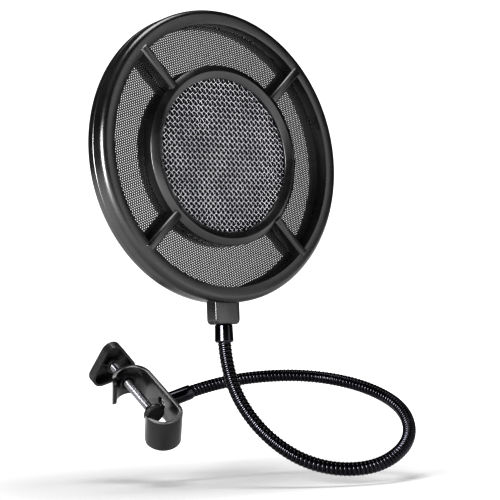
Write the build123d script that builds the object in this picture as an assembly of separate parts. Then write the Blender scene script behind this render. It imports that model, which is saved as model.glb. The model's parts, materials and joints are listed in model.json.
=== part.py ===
"""Microphone pop filter: a twin-shell mesh screen on a gooseneck arm with a screw clamp.

Millimetres, +Z up. The screen stands upright and faces -Y. The origin is the centre of
the clamp's hook, on the axis of the stand tube that it grips.
"""
from build123d import *
from math import radians, tan
import os

# ---------------------------------------------------------------- driving dimensions
# Screen: two moulded shells that meet at a parting plane, seen from the front (-Y).
screen_radius = 80.0            # outside of the rim
neck_top = (9.0, -46.8, 43.95)  # screen ferrule's mouth, where the neck comes up into it
front_depth = 8.0               # front face of the rim to the parting plane
rear_depth = 7.0                # parting plane to the back face of the rim
rim_face_width = 4.8            # flat ring face, between its inner edge and the shoulder
shoulder_width = 3.4            # how far the rounded shoulder falls outwards
shoulder_drop = 3.6             # how far it falls backwards
rim_wall = 2.0                  # wall of the hollow rim
parting_chamfer = 0.3
lip_thickness = 1.4             # locating lip of the rear shell, inside the front shell's channel
lip_height = 1.6
lip_clearance = 0.1

hub_inner_radius = 42.1
hub_slope_width = 3.6           # each of the hub ring's two slopes, inside and outside its crest
hub_crest_proud = 1.0           # crest of the hub ring in front of the rim face
hub_edge_drop = 1.2             # hub ring's two edges behind the rim face
hub_lip = 1.6                   # thickness of the lip that holds the coarse mesh
hub_lip_reach = 1.7             # how far that lip stands inside the bore behind it

spoke_count = 4
spoke_width = 5.0
spoke_chamfer = 1.0
spoke_proud = 0.9               # spokes stand in front of the rim face by this
spoke_overlap = 3.2             # how far they run out onto the rim face

fine_mesh_thickness = 0.4
fine_mesh_seat = 1.8            # how far the fine mesh reaches into the rim and the hub
coarse_mesh_thickness = 1.4
mesh_clearance = 0.2            # radial clearance round meshes and foam

# Neck block: moulded in halves with the two shells, below the rim.
block_drop = 11.4               # how far the block hangs below the rim
block_front_half = 3.6          # in front of the parting plane
block_rear_half = 5.0           # behind the parting plane
block_corner = 2.6
block_edge = 0.8
block_screw_radius = 1.0
block_screw_wall = 1.0          # between the screws and the ferrule's flange
block_side_wall = 2.4           # from the screws' axes to the block's sides
block_screw_height = 5.6        # above the block's bottom
block_screw_end_wall = 0.8      # left in front of the screws' ends
screw_head_radius = 1.8
screw_head_height = 1.2
screw_recess = (2.0, 0.5, 0.3)  # length, width and depth of the cross recess

# Gooseneck: a wound metal tube, made here as links that meet at ball hinges.
neck_radius = 3.7
hinge_gap = 1.1                 # each link stops this far from the hinge centre
hinge_cup_wall = 0.8            # of the tube, round the cup's mouth
hinge_ball_clearance = 0.1
hinge_stem_radius = 1.4
# Corners of the neck's route between its first and last runs, chosen by hand.
neck_corners = [
    (71.0, 1.0, 25.0),
    (101.0, -17.0, 24.0),
    (115.0, -48.0, 16.0),
    (111.0, -81.0, 3.0),
    (91.0, -103.0, -14.0),
    (60.0, -105.0, -26.0),
    (32.0, -87.0, -23.0),
    (16.0, -63.0, -3.0),
]
neck_first_run = 11.7           # from the clamp ferrule's mouth to the first corner
neck_last_run = 17.0            # from the last corner up to the screen ferrule's mouth
ferrule_grip = 6.0              # how far the neck goes into each ferrule

screen_ferrule_wall = 1.3
screen_ferrule_length = 9.6
ferrule_spigot_radius = 3.0
ferrule_flange_reach = 0.8      # outside the spigot
ferrule_flange_height = 1.6
ferrule_spigot_length = 7.4
fit_clearance = 0.05            # between pieces that sit inside one another

# Clamp: a C-shaped strap in its own plane. x points to the back strap, y to the thumbscrew,
# z along the tube that it grips.
clamp_tilt = (37.0, -19.0, 2.5)     # intrinsic X, Y, Z turns of the clamp, in degrees
strap_width = 20.0
strap_thickness = 2.2
hook_radius = 10.5              # outside of the hook
hook_wrap = 25.0                # degrees that the hook's tip reaches past a half circle
back_length = 33.0              # hook centre to curl centre
curl_radius = 11.6              # outside of the curl that carries the thumbscrew
curl_wrap = 170.0
strap_end_round = 5.0
port_height = 16.0              # neck fixing, along the back strap from the hook centre
port_boss_wall = 1.7            # round the counterbore
port_boss_height = 2.4
port_floor = 1.6
clamp_ferrule_wall = 0.6
clamp_ferrule_length = 14.2
neck_screw_radius = 1.5
neck_screw_head_radius = 2.7
neck_screw_head_height = 1.8
neck_screw_head_clearance = 1.0     # in the counterbore
neck_screw_length = 4.2         # below the head
neck_screw_recess = (3.2, 0.8, 0.6)     # length, width and depth of the cross recess
swivel_washer_thickness = 0.5
swivel_clearance = 0.1

thumb_screw_radius = 2.5        # outside of the M5 thread
thread_clearance = 0.1
insert_wall = 1.4
insert_boss_wall = 1.4
insert_boss_height = 2.2        # inside the curl
pad_side_gap = 2.4              # between the pad's edge and the hook's walls
pad_start_gap = 0.3             # from the gripped tube to the pad's face, at rest
pad_cap_thickness = 1.5
pad_cap_edge = 0.5
pad_plate_edge = 0.8
pad_plate_thickness = 2.4
pad_hub_radius = 3.2
pad_hub_height = 1.2
screw_neck_bare = 2.0           # of the screw's plain neck, from the pad's hub to the thread
screw_neck_radius = 1.5
screw_tip_radius = 2.1
screw_tip_height = 1.0
screw_tip_depth = 0.6           # from the pad's cap to the screw's tip
screw_chamfer = 0.6

knob_gap = 11.4                 # from the curl to the knob's open rim, at rest
knob_depth = 6.0
knob_lobe_radius = 6.4
knob_lobe_place = 8.9           # lobe centres from the screw axis
knob_wall = 1.5
knob_plate = 1.8
knob_boss_radius = 4.6
knob_boss_inset = 0.8           # boss stops this far inside the open rim
knob_rib_width = 1.4
knob_rib_height = 3.0
knob_edge = 0.5

# ---------------------------------------------------------------- derived values
total_depth = front_depth + rear_depth
face_outer_radius = screen_radius - shoulder_width
rim_inner_radius = face_outer_radius - rim_face_width
rim_cavity = (rim_inner_radius + rim_wall, screen_radius - rim_wall)
hub_crest_radius = hub_inner_radius + hub_slope_width
hub_outer_radius = hub_crest_radius + hub_slope_width
hub_seat_radius = hub_inner_radius + hub_lip_reach
foam_thickness = total_depth - 2 * (hub_edge_drop + hub_lip + coarse_mesh_thickness)
mesh_front = front_depth - fine_mesh_thickness

ferrule_flange_radius = ferrule_spigot_radius + ferrule_flange_reach
screen_ferrule_radius = neck_radius + screen_ferrule_wall
block_bottom = screen_radius + block_drop
block_front = front_depth - block_front_half
block_back = front_depth + block_rear_half
block_screw_side = ferrule_flange_radius + block_screw_wall + block_screw_radius
block_width = 2 * (block_screw_side + block_side_wall)
neck_axis_depth = (block_front + block_back) / 2
ferrule_top = -(block_bottom + fit_clearance)
ferrule_bottom = ferrule_top - screen_ferrule_length

hook_inner_radius = hook_radius - strap_thickness
insert_top = back_length + curl_radius
insert_radius = thumb_screw_radius + insert_wall + thread_clearance
insert_boss_radius = insert_radius + insert_boss_wall
port_counterbore_radius = neck_screw_head_radius + neck_screw_head_clearance
port_boss_radius = port_counterbore_radius + port_boss_wall
clamp_ferrule_radius = neck_radius + clamp_ferrule_wall
pad_radius = hook_inner_radius - pad_side_gap
pad_face = hook_inner_radius + pad_start_gap
knob_near = insert_top + knob_gap
hinge_ball_radius = neck_radius - hinge_cup_wall - hinge_ball_clearance

screen = Location(Vector(*neck_top) - Vector(0, neck_axis_depth, ferrule_bottom))
clamp = Location((0, 0, 0), clamp_tilt)


def turned(points):
    """Solid of revolution about the screen's axis from (radius, depth) corners."""
    outline = make_face(Polyline(*[(r, y, 0) for r, y in points], close=True))
    return revolve(outline, Axis.Y)


def ring(inner, outer, start, end):
    """Flat ring about the screen's axis between two depths."""
    return turned([(inner, start), (outer, start), (outer, end), (inner, end)])


def disc_between(radius, start, end):
    """Solid disc about the local Y axis between two depths."""
    solid = Cylinder(radius, end - start, align=(Align.CENTER, Align.CENTER, Align.MIN))
    return Pos(0, start, 0) * Rot(-90, 0, 0) * solid


def rod_along_x(radius, start, end):
    """Solid cylinder on the local X axis between two places."""
    solid = Cylinder(radius, end - start, align=(Align.CENTER, Align.CENTER, Align.MIN))
    return Pos(start, 0, 0) * Rot(0, 90, 0) * solid


# ---------------------------------------------------------------- screen shells
def rim_shell(depth, drop):
    """One half of the rim, face at y = 0 and open towards the parting plane at y = depth."""
    outline = Polyline(
        (rim_inner_radius, 0, 0),
        (face_outer_radius, 0, 0),
    )
    shoulder = TangentArc((face_outer_radius, 0, 0), (screen_radius, drop, 0), tangent=(1, 0, 0))
    wall = Polyline(
        (screen_radius, drop, 0),
        (screen_radius, depth - parting_chamfer, 0),
        (screen_radius - parting_chamfer, depth, 0),
        (rim_inner_radius, depth, 0),
        (rim_inner_radius, 0, 0),
    )
    shell = revolve(make_face(outline + shoulder + wall), Axis.Y)
    inner, outer = rim_cavity
    cavity = turned([
        (inner, rim_wall),
        (face_outer_radius - rim_wall / 2, rim_wall),
        (outer, drop + rim_wall / 2),
        (outer, depth),
        (inner, depth),
    ])
    return shell - cavity


def hub_shell(depth):
    """One half of the hub ring: two slopes that meet at a proud crest, and a lip for the mesh."""
    return turned([
        (hub_inner_radius, hub_edge_drop),
        (hub_crest_radius, -hub_crest_proud),
        (hub_outer_radius, hub_edge_drop),
        (hub_outer_radius, depth),
        (hub_seat_radius, depth),
        (hub_seat_radius, hub_edge_drop + hub_lip),
        (hub_inner_radius, hub_edge_drop + hub_lip),
    ])


def spokes(depth):
    """Four chamfered bars from the hub ring out over the rim face, on the diagonals."""
    start = (hub_crest_radius + hub_outer_radius) / 2
    end = rim_inner_radius + spoke_overlap
    length = end - start
    section = make_face(Polyline(
        (-spoke_width / 2, depth),
        (-spoke_width / 2, spoke_chamfer - spoke_proud),
        (spoke_chamfer - spoke_width / 2, -spoke_proud),
        (spoke_width / 2 - spoke_chamfer, -spoke_proud),
        (spoke_width / 2, spoke_chamfer - spoke_proud),
        (spoke_width / 2, depth),
        close=True,
    ))
    bar = Pos(0, 0, start) * extrude(section, length)
    inner, outer = rim_cavity
    bar -= ring(inner - rim_wall / 2, outer, rim_wall / 2, depth)
    end_edges = bar.faces().sort_by(Axis.Z)[-1].edges().filter_by(Axis.X)
    bar = fillet(end_edges.sort_by(Axis.Y)[:1], spoke_chamfer * 0.8)
    turn = 360 / spoke_count
    return [Rot(0, turn / 2 + turn * index, 0) * bar for index in range(spoke_count)]


def block_half(outside):
    """Half of the neck block, from its outside face (a depth) to the parting plane."""
    top = screen_radius - rim_wall
    depth = abs(front_depth - outside)
    half = Box(block_width, depth, block_bottom)
    half = Pos(0, (outside + front_depth) / 2, -block_bottom / 2) * half
    low = half.edges().filter_by(Axis.Y).sort_by(Axis.Z)[:2]
    half = fillet(low, block_corner)
    face = half.faces().sort_by(Axis.Y)[0 if outside < front_depth else -1]
    half = fillet(face.edges().sort_by(Axis.Z)[:-1], block_edge)
    return half & ring(top, 2 * screen_radius, *sorted([outside, front_depth]))


def spigot_socket():
    """Room for the ferrule's spigot and its flange, in block coordinates."""
    shaft = Cylinder(ferrule_spigot_radius + fit_clearance, ferrule_spigot_length,
                     align=(Align.CENTER, Align.CENTER, Align.MIN))
    flange = Cylinder(ferrule_flange_radius + fit_clearance,
                      ferrule_flange_height + 2 * fit_clearance,
                      align=(Align.CENTER, Align.CENTER, Align.MAX))
    top = ferrule_spigot_length + fit_clearance
    return Pos(0, neck_axis_depth, -block_bottom) * (shaft + Pos(0, 0, top) * flange)


screw_height = block_screw_height - block_bottom
screw_places = [(side * block_screw_side, screw_height) for side in (-1, 1)]
screw_start = block_front + block_screw_end_wall

front_frame = rim_shell(front_depth, shoulder_drop) + hub_shell(front_depth)
for bar in spokes(front_depth):
    front_frame += bar
front_frame += block_half(block_front)
front_frame -= spigot_socket()
front_frame -= ring(hub_outer_radius - fine_mesh_seat - mesh_clearance,
                    rim_inner_radius + fine_mesh_seat + mesh_clearance,
                    mesh_front, front_depth)

rear_frame = rim_shell(rear_depth, shoulder_drop) + hub_shell(rear_depth)
for bar in spokes(rear_depth):
    rear_frame += bar
rear_frame = Pos(0, total_depth, 0) * mirror(rear_frame, about=Plane.XZ)
rear_frame += block_half(block_back)
lip_inner = rim_cavity[0] + lip_clearance
lip_floor = ring(rim_cavity[0] - rim_wall / 2, lip_inner + lip_thickness, front_depth, front_depth + rim_wall)
lip = ring(lip_inner, lip_inner + lip_thickness, front_depth - lip_height, front_depth)
block_keep_out = Pos(0, front_depth - lip_height / 2, -screen_radius) * Box(
    block_width + 4, lip_height, 4 * rim_wall + 8)
rear_frame += lip_floor + (lip - block_keep_out)
rear_frame -= spigot_socket()

for x, z in screw_places:
    pilot = Pos(x, 0, z) * disc_between(block_screw_radius, screw_start, block_back)
    head_room = Pos(x, 0, z) * disc_between(
        screw_head_radius + mesh_clearance, block_back - screw_head_height, block_back)
    front_frame -= pilot
    rear_frame -= pilot + head_room

# ---------------------------------------------------------------- meshes and foam
coarse_front = hub_edge_drop + hub_lip
coarse_radius = hub_seat_radius - mesh_clearance
front_coarse_mesh = disc_between(coarse_radius, coarse_front, coarse_front + coarse_mesh_thickness)
foam_start = coarse_front + coarse_mesh_thickness
hub_foam = disc_between(coarse_radius, foam_start, foam_start + foam_thickness)
rear_coarse_mesh = disc_between(
    coarse_radius, foam_start + foam_thickness, foam_start + foam_thickness + coarse_mesh_thickness)
fine_mesh = ring(hub_outer_radius - fine_mesh_seat, rim_inner_radius + fine_mesh_seat,
                 mesh_front, front_depth)


def frame_screw():
    """Self-tapping screw with a pan head, in from the back of the neck block."""
    shank = disc_between(block_screw_radius, screw_start, block_back - screw_head_height)
    head = disc_between(screw_head_radius, block_back - screw_head_height, block_back)
    length, width, depth = screw_recess
    cross = Box(length, 2 * depth, width) + Box(width, 2 * depth, length)
    return shank + head - Pos(0, block_back, 0) * cross


block_screws = [Pos(x, 0, z) * frame_screw() for x, z in screw_places]

# ---------------------------------------------------------------- screen ferrule
def screen_ferrule():
    """Crimped sleeve with a flanged spigot that the two block halves trap."""
    sleeve = Cylinder(screen_ferrule_radius, screen_ferrule_length,
                      align=(Align.CENTER, Align.CENTER, Align.MAX))
    sleeve = chamfer(sleeve.edges().sort_by(Axis.Z)[-1:], 0.5)
    sleeve = chamfer(sleeve.edges().sort_by(Axis.Z)[:1], 0.4)
    bore = Pos(0, 0, -screen_ferrule_length) * Cylinder(
        neck_radius + fit_clearance, ferrule_grip + fit_clearance,
        align=(Align.CENTER, Align.CENTER, Align.MIN))
    spigot = Cylinder(ferrule_spigot_radius, ferrule_spigot_length,
                      align=(Align.CENTER, Align.CENTER, Align.MIN))
    flange = Pos(0, 0, ferrule_spigot_length) * Cylinder(
        ferrule_flange_radius, ferrule_flange_height, align=(Align.CENTER, Align.CENTER, Align.MAX))
    return Pos(0, neck_axis_depth, ferrule_top) * (sleeve - bore + spigot + flange)


# ---------------------------------------------------------------- clamp
def strap():
    """C-shaped strap: hook, straight back, and the curl that carries the screw."""
    middle = strap_thickness / 2
    end_area = strap_thickness * strap_width
    hook = CenterArc((0, 0), hook_radius - middle, 0, -(180 + hook_wrap))
    back = Line((hook_radius - middle, 0), (hook_radius - middle, back_length))
    curl = CenterArc((hook_radius - curl_radius, back_length), curl_radius - middle, 0, curl_wrap)
    body = extrude(trace([hook, back, curl], strap_thickness), strap_width / 2, both=True)
    ends = body.faces().filter_by(GeomType.PLANE).filter_by(lambda face: face.area < 2 * end_area)
    body = fillet(ends.edges().filter_by(lambda edge: edge.length < 2 * strap_thickness), strap_end_round)
    return body


def on_port(shape):
    """Places a piece that is made along +X on the neck fixing's axis."""
    return Pos(0, port_height, 0) * shape


port_outer = hook_radius + port_boss_height
port_seat = port_outer - port_floor
ferrule_start = port_outer + swivel_washer_thickness
ferrule_end = ferrule_start + clamp_ferrule_length
screw_under_head = port_seat - fit_clearance
screw_end = screw_under_head + neck_screw_length
insert_start = insert_top - strap_thickness - insert_boss_height

strap_body = strap()
strap_body += on_port(rod_along_x(port_boss_radius, hook_radius - strap_thickness / 2, port_outer))
strap_body += disc_between(insert_boss_radius, insert_start, insert_top - strap_thickness / 2)
strap_body -= on_port(rod_along_x(port_counterbore_radius, 0, port_seat))
strap_body -= on_port(rod_along_x(neck_screw_radius + swivel_clearance, 0, port_outer))
strap_body -= disc_between(insert_radius, insert_start, insert_top)

threaded_insert = disc_between(insert_radius, insert_start, insert_top)
threaded_insert -= disc_between(thumb_screw_radius + thread_clearance, insert_start, insert_top)


def neck_screw():
    """Pan-head screw with a cross recess that holds the neck to the strap."""
    head = rod_along_x(neck_screw_head_radius, screw_under_head - neck_screw_head_height, screw_under_head)
    head = fillet(head.edges().filter_by(GeomType.CIRCLE).sort_by(Axis.X)[:1], 0.7)
    shank = rod_along_x(neck_screw_radius, screw_under_head, screw_end)
    length, width, depth = neck_screw_recess
    cross = Box(2 * depth, length, width) + Box(2 * depth, width, length)
    return on_port(head + shank - Pos(screw_under_head - neck_screw_head_height, 0, 0) * cross)


swivel_washer = on_port(
    rod_along_x(clamp_ferrule_radius, port_outer + fit_clearance, ferrule_start)
    - rod_along_x(neck_screw_radius + fit_clearance, port_outer, ferrule_start))

clamp_ferrule = rod_along_x(clamp_ferrule_radius, ferrule_start, ferrule_end)
clamp_ferrule = chamfer(clamp_ferrule.edges().filter_by(GeomType.CIRCLE), 0.4)
clamp_ferrule -= rod_along_x(neck_screw_radius, ferrule_start, screw_end + fit_clearance)
clamp_ferrule -= rod_along_x(neck_radius + fit_clearance, ferrule_end - ferrule_grip, ferrule_end)
clamp_ferrule = on_port(clamp_ferrule)

# Pressure pad on the end of the thumbscrew
plate_start = pad_face + pad_cap_thickness
plate_end = plate_start + pad_plate_thickness
hub_end = plate_end + pad_hub_height
tip_start = plate_start + screw_tip_depth
tip_end = tip_start + screw_tip_height

pad_cap = fillet(
    disc_between(pad_radius, pad_face, plate_start).edges().filter_by(GeomType.CIRCLE).sort_by(Axis.Y)[:1],
    pad_cap_edge)
pressure_pad = disc_between(pad_radius, plate_start, plate_end)
pressure_pad = fillet(pressure_pad.edges().filter_by(GeomType.CIRCLE).sort_by(Axis.Y)[-1:], pad_plate_edge)
pressure_pad += disc_between(pad_hub_radius, plate_end, hub_end)
pressure_pad -= disc_between(screw_neck_radius + fit_clearance, tip_end, hub_end)
pressure_pad -= disc_between(
    screw_tip_radius + fit_clearance, tip_start - fit_clearance, tip_end + fit_clearance)

# Thumbscrew
knob_far = knob_near + knob_depth
screw_stop = knob_far - knob_plate
thread_start = hub_end + screw_neck_bare
clamp_screw = disc_between(thumb_screw_radius, thread_start, screw_stop)
clamp_screw = chamfer(clamp_screw.edges().filter_by(GeomType.CIRCLE).sort_by(Axis.Y)[:1], screw_chamfer)
clamp_screw += disc_between(screw_neck_radius, tip_end, thread_start + screw_chamfer)
clamp_screw += disc_between(screw_tip_radius, tip_start, tip_end)


def knob():
    """Three-lobed thumb knob, hollow towards the clamp, with a boss and three ribs."""
    def outline(inset):
        places = [Rot(0, 0, 120 * index - 90) * Pos(knob_lobe_place, 0) for index in range(3)]
        lobes = [(place * Circle(knob_lobe_radius - inset)).edge() for place in places]
        return make_hull(lobes)

    plane_turn = Pos(0, knob_near, 0) * Rot(-90, 0, 0)
    body = extrude(outline(0), knob_depth)
    body = fillet(body.edges().group_by(Axis.Z)[-1], knob_edge)
    hollow = extrude(outline(knob_wall), knob_depth - knob_plate)
    boss = Pos(0, 0, knob_boss_inset) * Cylinder(
        knob_boss_radius, knob_depth - knob_plate - knob_boss_inset,
        align=(Align.CENTER, Align.CENTER, Align.MIN))
    reach = knob_lobe_place / 2 + knob_lobe_radius - knob_wall
    rib = Pos(reach / 2, 0, knob_depth - knob_plate - knob_rib_height / 2) * Box(
        reach + 1, knob_rib_width, knob_rib_height)
    ribs = [Rot(0, 0, 120 * index + 90) * rib for index in range(3)]
    body = body - hollow + boss
    for one in ribs:
        body += one
    body -= Cylinder(thumb_screw_radius, knob_depth - knob_plate,
                     align=(Align.CENTER, Align.CENTER, Align.MIN))
    return plane_turn * body


# ---------------------------------------------------------------- gooseneck links
def neck_points():
    """Route corners with the two ferrule mouths: start, corners..., end."""
    start = (clamp * Location((ferrule_end, port_height, 0))).position
    along = ((clamp * Location((ferrule_end + 1, port_height, 0))).position - start)
    end = Vector(*neck_top)
    first = start + along * neck_first_run
    last = end - Vector(0, 0, neck_last_run)
    return start, [first] + [Vector(*corner) for corner in neck_corners] + [last], end


def neck_hinges():
    """Hinge centres, half way along each inner run."""
    _, corners, _ = neck_points()
    return [(a + b) * 0.5 for a, b in zip(corners[:-1], corners[1:])]


def neck_link(index):
    """One link: a tube bent round its corner, a ball at its far end, a cup at its near end."""
    start, corners, end = neck_points()
    hinges = neck_hinges()
    corner = corners[index]
    is_first = index == 0
    is_last = index == len(corners) - 1
    near = start if is_first else hinges[index - 1]
    far = end if is_last else hinges[index]
    inward = (corner - near).normalized()
    outward = (far - corner).normalized()
    near_end = near - inward * ferrule_grip if is_first else near + inward * hinge_gap
    far_end = far + outward * ferrule_grip if is_last else far - outward * hinge_gap
    half_turn = radians(inward.get_angle(outward)) / 2
    free_run = min((corner - near).length, (far - corner).length) - hinge_gap
    bend = FilletPolyline(near_end, corner, far_end, radius=0.97 * free_run / tan(half_turn))
    link = sweep(Plane(near_end, z_dir=inward) * Circle(neck_radius), bend)
    if not is_last:
        stem = Cylinder(hinge_stem_radius, hinge_gap + 1,
                        align=(Align.CENTER, Align.CENTER, Align.MAX))
        link += Plane(far, z_dir=outward) * (stem + Sphere(hinge_ball_radius))
    if not is_first:
        link -= Plane(near, z_dir=inward) * Sphere(hinge_ball_radius + hinge_ball_clearance)
    return link


# ---------------------------------------------------------------- nodes
nodes = {
    "front_frame": screen * front_frame,
    "rear_frame": screen * rear_frame,
    "fine_mesh": screen * fine_mesh,
    "front_coarse_mesh": screen * front_coarse_mesh,
    "hub_foam": screen * hub_foam,
    "rear_coarse_mesh": screen * rear_coarse_mesh,
    "block_screws": screen * Compound(children=block_screws),
    "screen_ferrule": screen * screen_ferrule(),
    "clamp_bracket": clamp * strap_body,
    "threaded_insert": clamp * threaded_insert,
    "neck_screw": clamp * neck_screw(),
    "swivel_washer": clamp * swivel_washer,
    "clamp_ferrule": clamp * clamp_ferrule,
    "pressure_pad": clamp * pressure_pad,
    "pad_cap": clamp * pad_cap,
    "clamp_screw": clamp * clamp_screw,
    "knob": clamp * knob(),
}
for number in range(len(neck_corners) + 2):
    nodes[f"neck_link_{number + 1:02d}"] = neck_link(number)

os.makedirs("parts", exist_ok=True)
for name, shape in nodes.items():
    export_step(shape, f"parts/{name}.step")
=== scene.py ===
"""Looks of a microphone pop filter: a twin-shell mesh screen on a gooseneck arm with a screw clamp."""

import json
from math import cos, hypot, pi, radians, sin, sqrt

import bmesh
import bpy
from mathutils import Matrix, Vector

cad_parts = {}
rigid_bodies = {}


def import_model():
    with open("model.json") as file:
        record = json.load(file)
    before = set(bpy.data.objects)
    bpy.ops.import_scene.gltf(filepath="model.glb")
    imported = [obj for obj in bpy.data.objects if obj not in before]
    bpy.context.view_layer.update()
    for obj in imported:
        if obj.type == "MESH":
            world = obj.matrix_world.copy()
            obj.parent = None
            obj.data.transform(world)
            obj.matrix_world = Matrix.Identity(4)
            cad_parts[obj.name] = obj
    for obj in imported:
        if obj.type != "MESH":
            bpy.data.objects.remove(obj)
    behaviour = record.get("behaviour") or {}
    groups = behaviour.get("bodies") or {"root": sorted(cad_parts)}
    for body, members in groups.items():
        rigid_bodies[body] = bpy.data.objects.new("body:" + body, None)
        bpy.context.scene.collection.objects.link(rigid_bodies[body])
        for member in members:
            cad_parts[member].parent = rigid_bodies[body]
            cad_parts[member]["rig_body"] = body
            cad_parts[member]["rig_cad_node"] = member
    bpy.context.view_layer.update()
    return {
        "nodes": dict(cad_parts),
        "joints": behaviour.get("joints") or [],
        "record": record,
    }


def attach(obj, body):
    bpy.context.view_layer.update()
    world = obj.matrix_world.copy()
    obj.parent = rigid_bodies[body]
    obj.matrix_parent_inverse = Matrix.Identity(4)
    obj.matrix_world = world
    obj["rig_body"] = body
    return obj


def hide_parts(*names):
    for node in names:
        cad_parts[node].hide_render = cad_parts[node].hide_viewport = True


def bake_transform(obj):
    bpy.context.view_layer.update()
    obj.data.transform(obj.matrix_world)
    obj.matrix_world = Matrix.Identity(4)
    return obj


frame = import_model()

MM = 0.001

# ---------------------------------------------------------------- sizes, in millimetres
SCREEN_PLACE = (9.0, -55.5, 145.0)  # centre of the screen, on its front face
FRONT_DEPTH = 8.0                   # front face of the rim to the parting plane
TOTAL_DEPTH = 15.0
RIM_INNER = 71.8
RIM_FACE = 76.6                     # outer edge of the flat face
RIM_OUTER = 80.0
SHOULDER_DROP = 3.6
RIM_WALL = 2.0
PARTING_CHAMFER = 0.3
SLOT = 0.4                          # holds the perforated sheet, in the front shell
HUB_INNER, HUB_CREST, HUB_OUTER = 42.1, 45.7, 49.3
HUB_SEAT = 43.8
CREST_PROUD = 1.0
HUB_DROP = 1.2
HUB_LIP = 1.6
SPOKE = (5.0, 0.9, 1.0)             # width, height in front of the rim face, chamfer
SPOKE_START, SPOKE_END, SPOKE_ROOT = 47.5, 75.0, 73.0
BLOCK_WIDTH, BLOCK_BOTTOM, BLOCK_TOP = 16.4, 91.4, 78.0
BLOCK_FRONT, BLOCK_BACK = 4.4, 13.0
BLOCK_CORNER, BLOCK_EDGE = 2.6, 0.8
BLOCK_SCREWS = (5.8, 85.8, 2.0, 1.2)    # places of the two head recesses, their radius and depth
NECK_DEPTH = 8.7                    # neck axis behind the front face
HOLE_PITCH, HOLE_WALL, HOLE_TURN = 1.35, 0.31, 21.0
WEAVE_PITCH, WEAVE_WIRE, WEAVE_TURN = 2.3, 0.345, 48.0
WEAVE_RADIUS = 43.5
FOAM = (43.5, 4.25, 10.75)          # radius, front, back

NECK_WIRE, NECK_COIL = 0.85, 2.85   # radii of the round wire and of its coil
FILLER_WIRE, FILLER_COIL = 0.35, 3.19
NECK_PITCH = 2.3
NECK_GRIP = 6.0                     # of the neck, in each ferrule
FIRST_RUN = 11.7
NECK_ROUTE = [                      # corners of the neck's route, after the first
    (71.0, 1.0, 25.0), (101.0, -17.0, 24.0), (115.0, -48.0, 16.0), (111.0, -81.0, 3.0), (91.0, -103.0, -14.0),
    (60.0, -105.0, -26.0), (32.0, -87.0, -23.0), (16.0, -63.0, -3.0), (9.0, -46.8, 26.95), (9.0, -46.8, 43.95),
]

PORT_HEIGHT = 16.0
CLAMP_FERRULE = (4.3, 13.4, 27.6)   # radius, start and end along the port's axis
SCREW_RADIUS, SCREW_ROOT, SCREW_PITCH = 2.5, 2.02, 0.8
SCREW_SPAN = (15.7, 60.2)
SCREW_TIP = (10.7, 11.7, 1.5, 2.1)     # start and end of its collar, radii of its neck and collar
PAD_RADIUS, PAD_FACE, PAD_PLATE, PAD_END, PAD_HUB_END, PAD_HUB = 5.9, 8.6, 10.1, 12.5, 13.7, 3.2
KNOB_NEAR, KNOB_DEPTH, KNOB_LOBE, KNOB_REACH = 56.0, 6.0, 6.4, 8.9
KNOB_WALL, KNOB_PLATE, KNOB_BOSS, KNOB_INSET = 1.5, 1.8, 4.6, 0.8
KNOB_RIB = (1.4, 3.0)

# ---------------------------------------------------------------- places
record = frame["record"]
joints = {joint["name"]: joint for joint in frame["joints"]}
along_screw = Vector(joints["thumbscrew_turn"]["axis"])
along_tube = -Vector(record["mounts"][0]["axis"])
to_back = along_screw.cross(along_tube)
clamp = Matrix((to_back, along_screw, along_tube)).transposed().to_4x4()
lie_back = Matrix.Rotation(-pi / 2, 4, "X")     # a piece turned about Z is laid along +Y
screen = Matrix.Translation(Vector(SCREEN_PLACE) * MM) @ lie_back
screw_axis = clamp @ lie_back
port_axis = clamp @ Matrix.Translation((0, PORT_HEIGHT * MM, 0)) @ Matrix.Rotation(pi / 2, 4, "Y")
neck_axis = Matrix.Translation((Vector(SCREEN_PLACE) + Vector((0, NECK_DEPTH, 0))) * MM)


# ---------------------------------------------------------------- modelling by hand, in steps
def deselect():
    bpy.ops.object.select_all(action="DESELECT")


def edit(piece):
    """Opens a piece for editing with all of it selected."""
    deselect()
    piece.select_set(True)
    bpy.context.view_layer.objects.active = piece
    bpy.ops.object.mode_set(mode="EDIT")
    bpy.ops.mesh.select_mode(type="VERT")
    bpy.ops.mesh.select_all(action="SELECT")


def close_edit():
    bpy.ops.object.mode_set(mode="OBJECT")


def pick(piece, kind, wanted):
    """Selects the vertices, edges or faces of the open piece that wanted() accepts."""
    bpy.ops.mesh.select_mode(type=kind)
    bpy.ops.mesh.select_all(action="DESELECT")
    mesh = bmesh.from_edit_mesh(piece.data)
    items = {"VERT": mesh.verts, "EDGE": mesh.edges, "FACE": mesh.faces}[kind]
    for item in items:
        if wanted(item):
            item.select = True
    mesh.select_flush_mode()
    bmesh.update_edit_mesh(piece.data)


def middle(item):
    """Middle of an edge or a face."""
    return sum((v.co for v in item.verts), Vector()) / len(item.verts)


def modify(piece, kind, **settings):
    """Adds one modifier with its settings, and applies it."""
    deselect()
    bpy.context.view_layer.objects.active = piece
    piece.select_set(True)
    modifier = piece.modifiers.new(kind, kind)
    for name, value in settings.items():
        setattr(modifier, name, value)
    bpy.ops.object.modifier_apply(modifier=modifier.name)


def tidy_skin(piece):
    """Merges doubled points, and turns every face outwards."""
    edit(piece)
    bpy.ops.mesh.remove_doubles(threshold=0.002 * MM)
    bpy.ops.mesh.normals_make_consistent(inside=False)
    close_edit()


def smooth(piece, angle=32):
    deselect()
    piece.select_set(True)
    bpy.context.view_layer.objects.active = piece
    bpy.ops.object.shade_smooth_by_angle(angle=radians(angle))


def round_edges(piece, width, steps=2, angle=35):
    modify(piece, "BEVEL", width=width * MM, segments=steps, limit_method="ANGLE", angle_limit=radians(angle),
           use_clamp_overlap=True)


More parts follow.
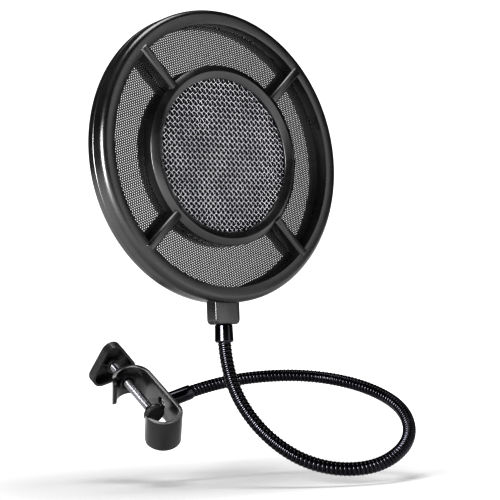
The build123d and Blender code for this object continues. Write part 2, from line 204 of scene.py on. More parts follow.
def point(name, place):
    """Opens a new piece that is one point, ready to be extruded."""
    deselect()
    bpy.ops.mesh.primitive_plane_add(size=MM)
    piece = bpy.context.object
    piece.name = piece.data.name = name
    bpy.ops.object.mode_set(mode="EDIT")
    bpy.ops.mesh.select_mode(type="VERT")
    bpy.ops.mesh.merge(type="CENTER")
    bpy.ops.transform.translate(value=Vector(place) * MM)
    return piece


def pull(step):
    """Extrudes what is selected by a step in millimetres."""
    bpy.ops.mesh.extrude_region_move(TRANSFORM_OT_translate={"value": Vector(step) * MM})


def turned(name, profile, steps=64, closed=False):
    """A piece turned about Z from (radius, height) corners; a closed profile makes a ring."""
    places = [Vector((radius, 0, height)) for radius, height in profile]
    if closed:
        places.append(places[0])
    piece = point(name, places[0])
    for here, there in zip(places[:-1], places[1:]):
        pull(there - here)
    bpy.ops.mesh.select_all(action="SELECT")
    bpy.ops.mesh.remove_doubles(threshold=0.002 * MM)
    bpy.ops.mesh.spin(steps=steps, angle=2 * pi, center=(0, 0, 0), axis=(0, 0, 1))
    close_edit()
    tidy_skin(piece)
    return piece


def block(name, low, high):
    """A box between two corners, in millimetres, ready to be shaped."""
    deselect()
    low, high = Vector(low) * MM, Vector(high) * MM
    bpy.ops.mesh.primitive_cube_add(size=1, location=(low + high) / 2, scale=high - low)
    piece = bpy.context.object
    piece.name = piece.data.name = name
    bpy.ops.object.transform_apply(location=True, rotation=True, scale=True)
    return piece


def add_solid(piece, *others, operation="UNION"):
    """Joins other solids to a piece, or cuts them from it, and removes them."""
    for other in others:
        modify(piece, "BOOLEAN", object=other, operation=operation, solver="EXACT")
        bpy.data.objects.remove(other)


def twin(piece, name, matrix=None):
    """A copy of a piece with its own mesh."""
    copy = piece.copy()
    copy.data = piece.data.copy()
    copy.name = copy.data.name = name
    bpy.context.scene.collection.objects.link(copy)
    if matrix is not None:
        copy.data.transform(matrix)
    return copy


def join(piece, *others):
    """Puts other pieces into one piece, as separate skins."""
    deselect()
    for one in (piece, *others):
        one.select_set(True)
    bpy.context.view_layer.objects.active = piece
    bpy.ops.object.join()
    return piece


def arc(centre, radius, start, end, steps):
    """(radius, height) corners along an arc, both ends included; angles in degrees."""
    angles = [radians(start + (end - start) * step / steps) for step in range(steps + 1)]
    return [(centre[0] + radius * cos(a), centre[1] + radius * sin(a)) for a in angles]


# ---------------------------------------------------------------- finishes
def linear(code):
    """sRGB hex colour as linear RGBA."""
    parts = [int(code[i:i + 2], 16) / 255 for i in (0, 2, 4)]
    return [p / 12.92 if p <= 0.04045 else ((p + 0.055) / 1.055) ** 2.4 for p in parts] + [1.0]


def add(tree, kind, inputs=None, links=None, **settings):
    """Adds a node with its settings, its socket values, and links from other nodes' outputs."""
    node = tree.nodes.new("ShaderNode" + kind)
    for name, value in settings.items():
        setattr(node, name, value)
    for name, value in (inputs or {}).items():
        node.inputs[name].default_value = value
    for name, output in (links or {}).items():
        tree.links.new(output, node.inputs[name])
    return node


def start_material(name, colour, **sockets):
    """A material with its shader, and Object coordinates to hang patterns on."""
    material = bpy.data.materials.new(name)
    material.use_nodes = True
    tree = material.node_tree
    tree.nodes.clear()
    shader = add(tree, "BsdfPrincipled", {"Base Color": linear(colour), **sockets})
    add(tree, "OutputMaterial", links={"Surface": shader.outputs["BSDF"]})
    place = add(tree, "TexCoord").outputs["Object"]
    return material, tree, shader, place


def grain(tree, shader, place, size, depth, roughness, detail=3.0):
    """Fine grain of a given size and depth in millimetres, over a slow cloud of roughness, which it returns."""
    noise = add(tree, "TexNoise", {"Scale": 1 / (size * MM), "Detail": detail, "Roughness": 0.6}, {"Vector": place})
    bump = add(tree, "Bump", {"Strength": 1.0, "Distance": depth * MM}, {"Height": noise.outputs["Fac"]})
    tree.links.new(bump.outputs["Normal"], shader.inputs["Normal"])
    cloud = add(tree, "TexNoise", {"Scale": 1 / (14 * MM), "Detail": 2.0}, {"Vector": place})
    spread = add(tree, "MapRange", {"From Min": 0.3, "From Max": 0.7, "To Min": roughness[0], "To Max": roughness[1]},
                 {"Value": cloud.outputs["Fac"]})
    tree.links.new(spread.outputs["Result"], shader.inputs["Roughness"])
    return cloud.outputs["Fac"]


def tint(tree, shader, factor, dark, light):
    """Lets the colour wander between two shades."""
    ramp = add(tree, "ValToRGB", links={"Fac": factor})
    ramp.color_ramp.elements[0].color = linear(dark)
    ramp.color_ramp.elements[1].color = linear(light)
    ramp.color_ramp.elements[0].position, ramp.color_ramp.elements[1].position = 0.35, 0.65
    tree.links.new(ramp.outputs["Color"], shader.inputs["Base Color"])


# Black ABS, injection moulded in a spark-eroded tool: a satin skin with an even fine grain.
moulded_abs, tree, shader, place = start_material("moulded_black_abs", "111112", IOR=1.53)
shader.inputs["Specular IOR Level"].default_value = 0.8
cloud = grain(tree, shader, place, 0.35, 0.005, (0.24, 0.32))
tint(tree, shader, cloud, "0a0a0b", "101011")

# Black ABS of the knob, moulded in a duller tool and polished a little by fingers.
knob_abs, tree, shader, place = start_material("moulded_knob_abs", "151516", IOR=1.53)
shader.inputs["Specular IOR Level"].default_value = 0.7
cloud = grain(tree, shader, place, 0.5, 0.008, (0.34, 0.46))
tint(tree, shader, cloud, "131314", "1b1b1c")

# Steel strap with black powder coat: satin, with the coat's slight orange peel.
powder_coat, tree, shader, place = start_material("powder_coated_steel", "111112", IOR=1.5)
shader.inputs["Specular IOR Level"].default_value = 0.8
shader.inputs["Coat Weight"].default_value = 0.15
shader.inputs["Coat Roughness"].default_value = 0.2
cloud = grain(tree, shader, place, 0.9, 0.008, (0.26, 0.36), detail=2.0)
tint(tree, shader, cloud, "0a0a0b", "101011")

# Black nickel plating on turned brass: a dark mirror with faint lathe rings worn in.
black_nickel, tree, shader, place = start_material("black_nickel_plate", "3b3b3f", Metallic=1.0)
cloud = grain(tree, shader, place, 0.6, 0.002, (0.10, 0.18))
tint(tree, shader, cloud, "343438", "424247")

# Black nickel plated spring wire: glossy round turns, darker and duller between them.
plated_wire, tree, shader, place = start_material("black_nickel_spring_wire", "38383c", Metallic=1.0)
cloud = grain(tree, shader, place, 0.5, 0.002, (0.12, 0.22))
tint(tree, shader, cloud, "303034", "3e3e43")

# Perforated steel sheet, punched and blackened: fine holes, a dull dark plate.
punched_sheet, tree, shader, place = start_material("blackened_punched_steel", "1c1c1d", IOR=1.5)
cloud = grain(tree, shader, place, 0.4, 0.004, (0.30, 0.42))
tint(tree, shader, cloud, "0a0a0b", "111112")

# Woven steel wire, blackened: round crimped wires with a soft shine.
woven_wire, tree, shader, place = start_material("blackened_woven_wire", "8e8e92", Metallic=1.0)
cloud = grain(tree, shader, place, 0.4, 0.002, (0.07, 0.12))
tint(tree, shader, cloud, "b8b8bc", "cccccf")

# Open-cell polyurethane foam: a matt black sponge of cells about half a millimetre wide.
foam_black, tree, shader, place = start_material("open_cell_foam", "0b0b0b", Roughness=0.95)
cells = add(tree, "TexVoronoi", {"Scale": 1 / (0.7 * MM)}, {"Vector": place}, feature="DISTANCE_TO_EDGE")
bump = add(tree, "Bump", {"Strength": 1.0, "Distance": 0.15 * MM}, {"Height": cells.outputs["Distance"]})
tree.links.new(bump.outputs["Normal"], shader.inputs["Normal"])
tint(tree, shader, cells.outputs["Distance"], "040404", "121212")

# Zinc plated steel screw: bright and slightly blue, brushed by handling.
zinc_plate, tree, shader, place = start_material("zinc_plated_steel", "c4c5c8", Metallic=1.0)
cloud = grain(tree, shader, place, 0.4, 0.004, (0.20, 0.34))
tint(tree, shader, cloud, "b6b7ba", "cfd0d2")

# Rolled steel thread with black oxide, worn to grey on its crests.
oxide_thread, tree, shader, place = start_material("black_oxide_thread", "6a6a6c", Metallic=1.0)
cloud = grain(tree, shader, place, 0.3, 0.004, (0.18, 0.28))
tint(tree, shader, cloud, "88888b", "a6a6a9")

# Black oxide steel of the small screws and the insert: dull and dark.
oxide_steel, tree, shader, place = start_material("black_oxide_steel", "2e2e30", Metallic=1.0)
cloud = grain(tree, shader, place, 0.4, 0.004, (0.34, 0.48))
tint(tree, shader, cloud, "28282a", "363638")

# Natural rubber of the pad, moulded: dead matt black with a chalky bloom.
pad_rubber, tree, shader, place = start_material("moulded_rubber", "111112", IOR=1.52)
cloud = grain(tree, shader, place, 0.6, 0.02, (0.70, 0.85))
tint(tree, shader, cloud, "0e0e0f", "19191a")


def done(piece, finish, body, slot, *nodes):
    """Gives a finished piece its finish and its body, and hides the CAD nodes it stands for; the slot argument is not
    used.
    """
    piece.data.materials.clear()
    piece.data.materials.append(finish)
    if body:
        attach(piece, body)
    if nodes:
        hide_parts(*nodes)
    return piece


# ---------------------------------------------------------------- screen shells
def rim_profile(depth, slot):
    """Section of one half of the hollow rim, open at the parting plane."""
    shoulder = arc((RIM_FACE, RIM_OUTER - RIM_FACE), RIM_OUTER - RIM_FACE, -90, 0, 8)
    return [
        (RIM_INNER, 0), *shoulder,
        (RIM_OUTER, depth - PARTING_CHAMFER), (RIM_OUTER - PARTING_CHAMFER, depth),
        (RIM_OUTER - RIM_WALL, depth), (RIM_OUTER - RIM_WALL, SHOULDER_DROP + 1),
        (RIM_FACE - 1, RIM_WALL), (RIM_INNER + RIM_WALL, RIM_WALL),
        (RIM_INNER + RIM_WALL, depth - slot), (RIM_INNER, depth - slot),
    ]


def hub_profile(depth, slot):
    """Section of one half of the hub ring: two slopes up to a crest, and a lip for the woven disc."""
    section = [
        (HUB_INNER, HUB_DROP), (HUB_CREST, -CREST_PROUD), (HUB_OUTER, HUB_DROP), (HUB_OUTER, depth - slot),
    ]
    if slot:
        section += [(HUB_OUTER - 2.0, depth - slot), (HUB_OUTER - 2.0, depth)]
    return section + [(HUB_SEAT, depth), (HUB_SEAT, HUB_DROP + HUB_LIP), (HUB_INNER, HUB_DROP + HUB_LIP)]


def spoke(depth):
    """One spoke along +X: a bar with chamfered edges and a rounded outer end."""
    width, proud, chamfer = SPOKE
    bar = block("spoke", (SPOKE_START, -width / 2, -proud), (SPOKE_END, width / 2, depth))
    edit(bar)
    pick(bar, "VERT", lambda v: v.co.x > (SPOKE_END - 1) * MM and v.co.z > 0)
    bpy.ops.transform.translate(value=((SPOKE_ROOT - SPOKE_END) * MM, 0, 0))
    pick(bar, "EDGE", lambda e: all(v.co.z < 0 for v in e.verts) and middle(e).x > (SPOKE_START + 1) * MM)
    bpy.ops.mesh.bevel(offset=chamfer * MM, segments=1)
    close_edit()
    round_edges(bar, 0.22)
    return bar


def shell(name, depth, slot, block_face):
    """One shell of the screen, face at height 0 and open towards the parting plane."""
    rim = turned(name, rim_profile(depth, slot), 180, closed=True)
    round_edges(rim, 0.25, angle=50)
    hub = turned("hub", hub_profile(depth, slot), 128, closed=True)
    round_edges(hub, 0.3, steps=3, angle=40)
    bars = [spoke(depth - slot)]
    for turn in range(1, 4):
        bars.append(twin(bars[0], "spoke", Matrix.Rotation(turn * pi / 2, 4, "Z")))
    for bar in bars:
        bar.data.transform(Matrix.Rotation(pi / 4, 4, "Z"))
    half = block("block_half", (-BLOCK_WIDTH / 2, BLOCK_TOP, block_face), (BLOCK_WIDTH / 2, BLOCK_BOTTOM, depth))
    edit(half)
    pick(half, "EDGE", lambda e: abs(e.verts[0].co.z - e.verts[1].co.z) > MM and middle(e).y > BLOCK_TOP * MM + MM)
    bpy.ops.mesh.bevel(offset=BLOCK_CORNER * MM, segments=6)
    pick(half, "EDGE", lambda e: all(v.co.z < block_face * MM + 1e-6 for v in e.verts)
         and middle(e).y > BLOCK_TOP * MM + 1e-5)
    bpy.ops.mesh.bevel(offset=BLOCK_EDGE * MM, segments=4)
    close_edit()
    round_edges(half, PARTING_CHAMFER, angle=60)
    add_solid(rim, hub, *bars, half)
    return rim


front_shell = shell("front_shell", FRONT_DEPTH, SLOT, BLOCK_FRONT)
front_shell.data.transform(screen)
smooth(front_shell)
done(front_shell, moulded_abs, "head", "shell", "front_frame")

rear_depth = TOTAL_DEPTH - FRONT_DEPTH
rear_shell = shell("rear_shell", rear_depth, 0, TOTAL_DEPTH - BLOCK_BACK)
side, drop, recess, deep = BLOCK_SCREWS
for x in (-side, side):
    hole = turned("recess", [(0, 1), (recess, 1), (recess, TOTAL_DEPTH - BLOCK_BACK + deep),
                             (0, TOTAL_DEPTH - BLOCK_BACK + deep)], 24)
    hole.data.transform(Matrix.Translation((x * MM, drop * MM, 0)))
    add_solid(rear_shell, hole, operation="DIFFERENCE")
facing_back = Matrix.Translation((0, 0, TOTAL_DEPTH * MM)) @ Matrix.Scale(-1, 4, (0, 0, 1))
rear_shell.data.transform(screen @ facing_back)
tidy_skin(rear_shell)
smooth(rear_shell)
done(rear_shell, moulded_abs, "head", "shell", "rear_frame")


# ---------------------------------------------------------------- perforated sheet
def punched_ring():
    """A sheet of staggered holes, cut to the ring between the hub and the rim."""
    reach = RIM_INNER + 3
    across = int(2 * reach / (HOLE_PITCH * sin(pi / 3))) + 4
    row, next_row = (Vector((cos(a), sin(a), 0)) * HOLE_PITCH * MM for a in (
        radians(-HOLE_TURN), radians(60 - HOLE_TURN)))
    deselect()
    bpy.ops.mesh.primitive_circle_add(vertices=6, radius=HOLE_PITCH / sqrt(3) * MM, fill_type="NGON",
                                      rotation=(0, 0, radians(-HOLE_TURN)))
    sheet = bpy.context.object
    sheet.name = sheet.data.name = "punched_sheet"
    bpy.ops.object.transform_apply(location=True, rotation=True, scale=True)
    edit(sheet)
    bpy.ops.mesh.inset(thickness=HOLE_WALL * MM)
    bpy.ops.mesh.delete(type="FACE")
    bpy.ops.mesh.select_all(action="SELECT")
    bpy.ops.transform.translate(value=-(row + next_row) * across / 2)
    close_edit()
    for step in (row, next_row):
        modify(sheet, "ARRAY", count=across, use_relative_offset=False, use_constant_offset=True,
               constant_offset_displace=step, use_merge_vertices=True, merge_threshold=0.02 * MM)
    inner, outer = (HUB_OUTER - 1.0) * MM, (RIM_INNER + 1.0) * MM
    edit(sheet)
    pick(sheet, "FACE", lambda face: not inner < middle(face).length < outer)
    bpy.ops.mesh.delete(type="FACE")
    close_edit()
    return sheet


sheet = punched_ring()
sheet.data.transform(Matrix.Translation((0, 0, (FRONT_DEPTH - SLOT / 2) * MM)))
modify(sheet, "SOLIDIFY", thickness=(SLOT - 0.04) * MM, offset=0)
# The sheet is four sectors, which meet out of sight under the spokes.
for number, (x, y) in enumerate(((1, 0), (0, 1), (-1, 0), (0, -1)), 1):
    quarter = twin(sheet, f"punched_sheet_{number}")
    edit(quarter)
    toward, sideways = Vector((x, y, 0)), Vector((-y, x, 0))
    pick(quarter, "FACE", lambda face: middle(face).dot(toward) < abs(middle(face).dot(sideways)))
    bpy.ops.mesh.delete(type="FACE")
    close_edit()
    quarter.data.transform(screen)
    done(quarter, punched_sheet, "head", "mesh_wire", "fine_mesh")
bpy.data.objects.remove(sheet)


# ---------------------------------------------------------------- woven discs and foam
def woven_disc(name):
    """A plain weave of crimped round wires, cut to a disc about Z."""
    parts_per_pitch = 4
    half_count = int(WEAVE_RADIUS / WEAVE_PITCH) + 1
    step = WEAVE_PITCH / parts_per_pitch
    deselect()
    bpy.ops.mesh.primitive_circle_add(vertices=6, radius=WEAVE_WIRE * MM, rotation=(0, pi / 2, 0))
    wire = bpy.context.object
    wire.name = wire.data.name = name
    bpy.ops.object.transform_apply(location=True, rotation=True, scale=True)
    edit(wire)
    bpy.ops.transform.translate(value=(-half_count * WEAVE_PITCH * MM, 0, WEAVE_WIRE * MM))
    for part in range(2 * parts_per_pitch):
        rise = WEAVE_WIRE * (cos(pi * (part + 1) / parts_per_pitch) - cos(pi * part / parts_per_pitch))
        pull((step, 0, rise))
    close_edit()
    modify(wire, "ARRAY", count=half_count, use_relative_offset=False, use_constant_offset=True,
           constant_offset_displace=(2 * WEAVE_PITCH * MM, 0, 0), use_merge_vertices=True,
           merge_threshold=0.02 * MM)
    warp = []
    for index in range(-half_count, half_count + 1):
        odd = (index + half_count) % 2
        lift = Matrix.Scale(-1 if odd else 1, 4, (0, 0, 1))
        warp.append(twin(wire, "warp", Matrix.Translation((0, index * WEAVE_PITCH * MM, 0)) @ lift))
    bpy.data.objects.remove(wire)
    disc = join(*warp)
    disc.name = disc.data.name = name
    weft = twin(disc, "weft", Matrix.Rotation(pi / 2, 4, "Z") @ Matrix.Scale(-1, 4, (0, 0, 1)))
    for part in (disc, weft):
        turn = part is weft
        edit(part)

        def outside(vertex):
            along, off = (vertex.co.y, vertex.co.x) if turn else (vertex.co.x, vertex.co.y)
            row = round(off / (WEAVE_PITCH * MM)) * WEAVE_PITCH * MM
            return hypot(along, row) > (WEAVE_RADIUS - 0.1) * MM

        pick(part, "VERT", outside)
        bpy.ops.mesh.delete(type="VERT")
        bpy.ops.mesh.select_all(action="SELECT")
        bpy.ops.mesh.fill_holes(sides=0)
        bpy.ops.mesh.select_all(action="SELECT")
        bpy.ops.mesh.normals_make_consistent(inside=False)
        close_edit()
    join(disc, weft)
    disc.data.transform(Matrix.Rotation(radians(-WEAVE_TURN), 4, "Z"))
    return disc


weave = woven_disc("front_woven_disc")
weave_front = HUB_DROP + HUB_LIP + 0.7
rear_weave = twin(weave, "rear_woven_disc", screen @ Matrix.Translation((0, 0, (TOTAL_DEPTH - weave_front) * MM)))
weave.data.transform(screen @ Matrix.Translation((0, 0, weave_front * MM)))
for disc, node in ((weave, "front_coarse_mesh"), (rear_weave, "rear_coarse_mesh")):
    smooth(disc, 70)
    done(disc, woven_wire, "head", "mesh_wire", node)

foam_radius, foam_front, foam_back = FOAM
rings = [foam_radius - 0.4 - ring for ring in range(0, int(foam_radius) - 1)]
foam = turned("hub_foam_disc", [(0, foam_front + 0.3)] + [(r, foam_front + 0.3) for r in reversed(rings)]
              + [(foam_radius, foam_front + 0.8), (foam_radius, foam_back - 0.8)]
              + [(r, foam_back - 0.3) for r in rings] + [(0, foam_back - 0.3)], 160)
sponge = bpy.data.textures.new("sponge", "CLOUDS")
sponge.noise_scale = 1.6 * MM
modify(foam, "DISPLACE", texture=sponge, strength=0.5 * MM, mid_level=0.5, texture_coords="LOCAL")
foam.data.transform(screen)
smooth(foam, 60)
done(foam, foam_black, "head", "foam", "hub_foam")

# ---------------------------------------------------------------- ferrules
top = -BLOCK_BOTTOM
screen_ferrule = turned("screen_ferrule_sleeve", [
    (0, top + 4), (3.0, top + 4), (3.0, top - 0.05), (4.35, top - 0.05), (4.75, top - 0.45), (4.85, top - 4.0),
    (5.0, top - 8.7), (5.0, top - 8.95), (4.6, top - 9.65), (3.75, top - 9.65), (3.75, top - 3.6), (0, top - 3.6),
], 72)
round_edges(screen_ferrule, 0.15, angle=25)
screen_ferrule.data.transform(neck_axis)
smooth(screen_ferrule, 40)
done(screen_ferrule, black_nickel, "head", "black_nickel", "screen_ferrule")

radius, begin, end = CLAMP_FERRULE
clamp_ferrule = turned("clamp_ferrule_sleeve", [
    (2.0, begin), (radius - 0.4, begin), (radius, begin + 0.4), (radius, end - 0.4), (radius - 0.35, end),
    (3.75, end), (3.75, end - 6), (2.0, end - 6),
], 64, closed=True)
round_edges(clamp_ferrule, 0.12, angle=25)
clamp_ferrule.data.transform(port_axis)
smooth(clamp_ferrule, 40)
done(clamp_ferrule, black_nickel, "neck_base", "black_nickel", "clamp_ferrule")


# ---------------------------------------------------------------- gooseneck
def neck_line(places):
    """The neck's centre line: one smooth spline whose control points are the route's corners."""
    data = bpy.data.curves.new("neck_line", "CURVE")
    data.dimensions = "3D"
    spline = data.splines.new("NURBS")
    spline.points.add(len(places) - 1)
    for control, spot in zip(spline.points, places):
        control.co = (*(spot * MM), 1)
    spline.order_u = 3
    spline.use_endpoint_u = True
    spline.resolution_u = 48
    line = bpy.data.objects.new("neck_line", data)
    bpy.context.scene.collection.objects.link(line)
    return line


def coil(name, wire, reach, turns, sides, shift):
    """A close helix of round wire about Z, right-handed, starting one turn below zero."""
    deselect()
    bpy.ops.mesh.primitive_circle_add(vertices=sides, radius=wire * MM, rotation=(pi / 2, 0, 0))
    piece = bpy.context.object
    piece.name = piece.data.name = name
    bpy.ops.object.transform_apply(location=True, rotation=True, scale=True)
    piece.data.transform(Matrix.Translation(Vector((reach, 0, (shift - 1) * NECK_PITCH)) * MM))
    modify(piece, "SCREW", axis="Z", angle=2 * pi, screw_offset=NECK_PITCH * MM, iterations=turns, steps=28,
           render_steps=28, use_merge_vertices=False, use_smooth_shade=True)
    return piece


mouth = (port_axis @ Vector((0, 0, CLAMP_FERRULE[2] * MM))) / MM
outwards = (port_axis.to_3x3() @ Vector((0, 0, 1))).normalized()
controls = [mouth - outwards * NECK_GRIP * 0.9, mouth + outwards * FIRST_RUN] + [Vector(c) for c in NECK_ROUTE]
controls[-1] = controls[-1] + Vector((0, 0, NECK_GRIP * 0.9))
line = neck_line(controls)
bpy.context.view_layer.update()
sampled = bpy.data.meshes.new_from_object(line.evaluated_get(bpy.context.evaluated_depsgraph_get()))
path = [vertex.co.copy() for vertex in sampled.vertices]
lengths = [0.0]
for here, there in zip(path[:-1], path[1:]):
    lengths.append(lengths[-1] + (there - here).length)
cuts = [0.0]
for before, corner, after in zip(controls[1:-2], controls[2:-1], controls[3:]):
    crown = (before + 6 * corner + after) / 8 * MM
    nearest = min(range(len(path)), key=lambda i: (path[i] - crown).length)
    cuts.append(lengths[nearest])
cuts[-1] = lengths[-1]

turns = int(lengths[-1] / (NECK_PITCH * MM)) + 3
neck = join(coil("neck", NECK_WIRE, NECK_COIL, turns, 10, 0.0),
            coil("filler", FILLER_WIRE, FILLER_COIL, turns, 6, 0.5))
bends = [joints[f"neck_bend_{number}"] for number in range(1, 10)]
for number, (joint, low, high) in enumerate(zip(bends, cuts[:-1], cuts[1:]), 1):
    piece = twin(neck, f"neck_coil_{number}")
    edit(piece)
    bpy.ops.mesh.bisect(plane_co=(0, 0, low), plane_no=(0, 0, 1), clear_inner=True, use_fill=True)
    bpy.ops.mesh.select_all(action="SELECT")
    bpy.ops.mesh.bisect(plane_co=(0, 0, high), plane_no=(0, 0, 1), clear_outer=True, use_fill=True)
    close_edit()
    modify(piece, "CURVE", object=line, deform_axis="POS_Z")
    tidy_skin(piece)
    smooth(piece, 50)
    first, second = controls[number] * MM, controls[number + 1] * MM
    reach = 0.38 * (second - first)
    done(piece, plated_wire, None, "neck_wire", f"neck_link_{number:02d}", f"neck_link_{number + 1:02d}")
    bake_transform(piece)
bpy.data.objects.remove(neck)
bpy.data.objects.remove(line)


# ---------------------------------------------------------------- clamp
def softened(node, name, width, angle=40):
    """A copy of a CAD piece, merged into one skin, with its hard edges rounded."""
    piece = twin(frame["nodes"][node], name)
    piece.parent = None
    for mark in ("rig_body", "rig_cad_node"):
        del piece[mark]
    edit(piece)
    bpy.ops.mesh.remove_doubles(threshold=0.005 * MM)
    bpy.ops.mesh.dissolve_limited(angle_limit=radians(0.6))
    close_edit()
    round_edges(piece, width, steps=3, angle=angle)
    smooth(piece, 45)
    return piece


strap = softened("clamp_bracket", "clamp_strap", 0.25)
done(strap, powder_coat, "clamp", "coated_steel", "clamp_bracket")

pad = turned("pad_plate", [
    (0, PAD_PLATE), (PAD_RADIUS, PAD_PLATE), (PAD_RADIUS, PAD_END - 0.8),
    *arc((PAD_RADIUS - 0.8, PAD_END - 0.8), 0.8, 0, 90, 4)[1:],
    (PAD_HUB, PAD_END), (PAD_HUB, PAD_HUB_END), (1.55, PAD_HUB_END), (1.55, PAD_END), (0, PAD_END),
], 64)
round_edges(pad, 0.2, angle=50)
pad.data.transform(screw_axis)
smooth(pad, 40)
done(pad, knob_abs, "pad", "knob_plastic", "pressure_pad")

cap = turned("pad_rubber_cap", [
    (0, PAD_FACE), (PAD_RADIUS - 0.5, PAD_FACE), *arc((PAD_RADIUS - 0.5, PAD_FACE + 0.5), 0.5, -90, 0, 4)[1:],
    (PAD_RADIUS, PAD_PLATE - 0.02), (0, PAD_PLATE - 0.02),
], 64)
cap.data.transform(screw_axis)
smooth(cap, 40)
done(cap, pad_rubber, "pad", "pad_rubber", "pad_cap")


def thread():
    """The thumbscrew: a rolled thread between its reduced tip and the knob."""
    start, end = SCREW_SPAN
    profile = [(SCREW_ROOT, 0), (SCREW_RADIUS - 0.06, 0.30), (SCREW_RADIUS, 0.36), (SCREW_RADIUS, 0.42),
               (SCREW_RADIUS - 0.06, 0.48), (SCREW_ROOT, 0.78), (SCREW_ROOT, SCREW_PITCH)]
    rod = point("thumbscrew_rod", (profile[0][0], 0, start + profile[0][1] - SCREW_PITCH))
    for here, there in zip(profile[:-1], profile[1:]):
        pull((there[0] - here[0], 0, there[1] - here[1]))
    close_edit()
    modify(rod, "SCREW", axis="Z", angle=2 * pi, screw_offset=SCREW_PITCH * MM, steps=28, render_steps=28,
           iterations=int((end - start) / SCREW_PITCH) + 2, use_merge_vertices=True, merge_threshold=0.002 * MM)
    edit(rod)
    bpy.ops.mesh.remove_doubles(threshold=0.002 * MM)
    bpy.ops.mesh.select_all(action="SELECT")
    bpy.ops.mesh.bisect(plane_co=(0, 0, start * MM), plane_no=(0, 0, 1), clear_inner=True, use_fill=True)
    bpy.ops.mesh.select_all(action="SELECT")
    bpy.ops.mesh.bisect(plane_co=(0, 0, end * MM), plane_no=(0, 0, 1), clear_outer=True, use_fill=True)
    close_edit()
    tidy_skin(rod)
    return rod


rod = thread()
tip_start, tip_end, neck_radius, tip_radius = SCREW_TIP
tip = turned("tip", [(0, tip_start), (tip_radius, tip_start), (tip_radius, tip_end), (neck_radius, tip_end),
                     (neck_radius, SCREW_SPAN[0] + 0.4), (0, SCREW_SPAN[0] + 0.4)], 32)
join(rod, tip)
rod.data.transform(screw_axis)
smooth(rod, 25)
done(rod, oxide_thread, "thumbscrew", "dark_steel", "clamp_screw")


def thumb_knob():
    """Three-lobed knob about Z: ribbed edge, hollow towards the clamp, with a boss and three ribs."""
    lobe = Vector((KNOB_REACH * cos(-pi / 2), KNOB_REACH * sin(-pi / 2), 0))
    body = point("thumb_knob", lobe + Vector((KNOB_LOBE * cos(radians(-150)), KNOB_LOBE * sin(radians(-150)), 0)))
    side = KNOB_REACH * sqrt(3)
    for turn in range(3):
        centre = Matrix.Rotation(turn * 2 * pi / 3, 3, "Z") @ lobe
        bpy.ops.mesh.spin(steps=10, angle=-2 * pi / 3, center=centre * MM, axis=(0, 0, 1))
        heading = radians(60 + 120 * turn)
        for part in range(16):
            pull(Vector((cos(heading), sin(heading), 0)) * side / 16)
    bpy.ops.mesh.select_all(action="SELECT")
    bpy.ops.mesh.remove_doubles(threshold=0.02 * MM)
    bpy.ops.mesh.select_all(action="SELECT")
    bpy.ops.mesh.edge_face_add()
    pull((0, 0, KNOB_DEPTH))
    bpy.ops.mesh.select_all(action="SELECT")
    bpy.ops.mesh.normals_make_consistent(inside=False)
    pick(body, "FACE", lambda face: middle(face).z < 0.1 * MM and abs(face.normal.z) > 0.9)
    bpy.ops.mesh.inset(thickness=KNOB_WALL * MM)
    pull((0, 0, KNOB_DEPTH - KNOB_PLATE))
    pick(body, "EDGE", lambda e: all(v.co.z > (KNOB_DEPTH - 0.01) * MM for v in e.verts))
    bpy.ops.mesh.bevel(offset=0.5 * MM, segments=3)
    pick(body, "FACE", lambda face: abs(face.normal.z) < 0.1 and face.calc_area() > 4 * MM * MM
         and middle(face).xy.length > 0 and face.normal.dot(middle(face)) > 0
         and min(v.co.z for v in face.verts) < 0.01 * MM)
    bpy.ops.mesh.inset(thickness=0.16 * MM, depth=-0.22 * MM, use_individual=True)
    close_edit()
    boss = turned("boss", [
        (SCREW_RADIUS - 0.02, KNOB_INSET), (KNOB_BOSS, KNOB_INSET), (KNOB_BOSS, KNOB_DEPTH - 1),
        (SCREW_RADIUS - 0.02, KNOB_DEPTH - 1)], 48, closed=True)
    width, height = KNOB_RIB
    floor_height = KNOB_DEPTH - KNOB_PLATE
    reach = KNOB_REACH / 2 + KNOB_LOBE - KNOB_WALL + 0.3
    ribs = []
    for turn in range(3):
        rib = block("rib", (KNOB_BOSS - 0.5, -width / 2, floor_height - height), (reach, width / 2, floor_height + 0.5))
        rib.data.transform(Matrix.Rotation(radians(90 + 120 * turn), 4, "Z"))
        ribs.append(rib)
    round_edges(boss, 0.2)
    add_solid(body, boss, *ribs)
    return body


knob = thumb_knob()
knob.data.transform(screw_axis @ Matrix.Translation((0, 0, KNOB_NEAR * MM)))
smooth(knob, 30)
done(knob, knob_abs, "thumbscrew", "knob_plastic", "knob")

# CAD pieces whose shape is right get their finish on their own slots
for node, finish in {"threaded_insert": oxide_steel, "neck_screw": zinc_plate, "swivel_washer": pad_rubber,
                     "block_screws": oxide_steel}.items():
    shown = frame["nodes"][node]
    shown.data.materials.clear()
    shown.data.materials.append(finish)

# ---------------------------------------------------------------- floor, camera and light
deselect()
bpy.ops.mesh.primitive_circle_add(vertices=96, radius=6, fill_type="NGON", location=(0, 0, -0.0335))
ground = bpy.context.object
ground.name = ground.data.name = "studio_floor"
painted_glow_floor_material, tree, shader, place = start_material("white_studio_paper_with_painted_glow", "e0e0e0", Roughness=0.9)
shader.inputs["Emission Color"].default_value = linear("ffffff")
# Painted light: the floor glows, and its emission rises with distance from the origin. It is almost none under the
# object and nearly white far off, where the floor fades into the white backdrop.
reach = add(tree, "VectorMath", links={0: place}, operation="LENGTH").outputs["Value"]
painted_floor_glow = add(tree, "MapRange", {"From Min": 0.08, "From Max": 0.5, "To Min": 0.04, "To Max": 0.97}, {"Value": reach})
tree.links.new(painted_floor_glow.outputs["Result"], shader.inputs["Emission Strength"])
grain(tree, shader, place, 6.0, 0.05, (0.85, 0.95))
ground.data.materials.append(painted_glow_floor_material)

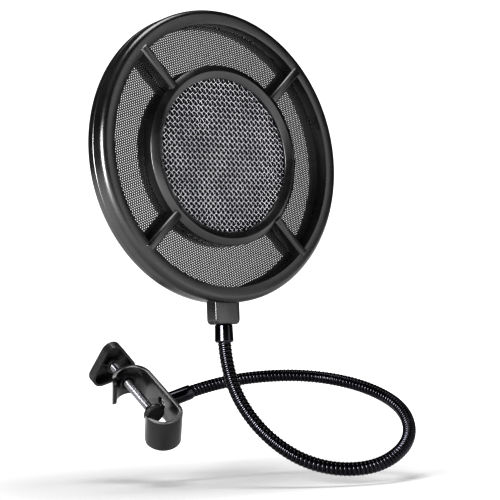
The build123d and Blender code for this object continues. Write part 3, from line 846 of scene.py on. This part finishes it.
camera_data = bpy.data.cameras.new("camera")
camera_data.lens, camera_data.sensor_width = 90, 36
camera_data.clip_start, camera_data.clip_end = 0.01, 50
camera = bpy.data.objects.new("camera", camera_data)
bpy.context.scene.collection.objects.link(camera)
forward = Vector((0.6256, 0.7744, 0.0946)).normalized()
upward = Vector((-0.0304, -0.0970, 0.9948))
rightward = forward.cross(upward).normalized()
upward = rightward.cross(forward)
camera.matrix_world = Matrix.Translation((-0.4032, -0.5820, 0.0293)) @ Matrix(
    (rightward, upward, -forward)).transposed().to_4x4()
bpy.context.scene.camera = camera

target = Vector((0.02, -0.05, 0.10))


def soft_light(name, place, size, power):
    """A soft rectangular light that looks at the object."""
    data = bpy.data.lights.new(name, "AREA")
    data.shape, data.size, data.size_y, data.energy = "RECTANGLE", size[0], size[1], power
    light = bpy.data.objects.new(name, data)
    bpy.context.scene.collection.objects.link(light)
    light.location = place
    light.rotation_mode = "QUATERNION"
    light.rotation_quaternion = (target - Vector(place)).to_track_quat("-Z", "Y")


level_right = Vector((rightward.x, rightward.y, 0)).normalized()
level_ahead = Vector((forward.x, forward.y, 0)).normalized()
soft_light("left_softbox", target - level_right * 0.40 - level_ahead * 0.75 + Vector((0, 0, 0.08)), (0.40, 0.36), 13)
soft_light("right_softbox", target + level_right * 0.85 - level_ahead * 0.35 + Vector((0, 0, 0.25)), (0.3, 0.9), 1.2)
soft_light("top_softbox", target - level_ahead * 0.10 + Vector((0, 0, 0.95)), (0.5, 0.5), 4.5)

world = bpy.data.worlds.new("white_room")
bpy.context.scene.world = world
world.use_nodes = True
tree = world.node_tree
tree.nodes.clear()
seen = add(tree, "LightPath").outputs["Is Camera Ray"]
room = add(tree, "Background", {"Color": linear("ffffff"), "Strength": 0.06})
backdrop = add(tree, "Background", {"Color": linear("ffffff"), "Strength": 1.0})
mix = add(tree, "MixShader", links={0: seen, 1: room.outputs[0], 2: backdrop.outputs[0]})
add(tree, "OutputWorld", links={"Surface": mix.outputs[0]})
bpy.context.scene.view_settings.view_transform = "Standard"
bpy.context.scene.view_settings.look = "High Contrast"
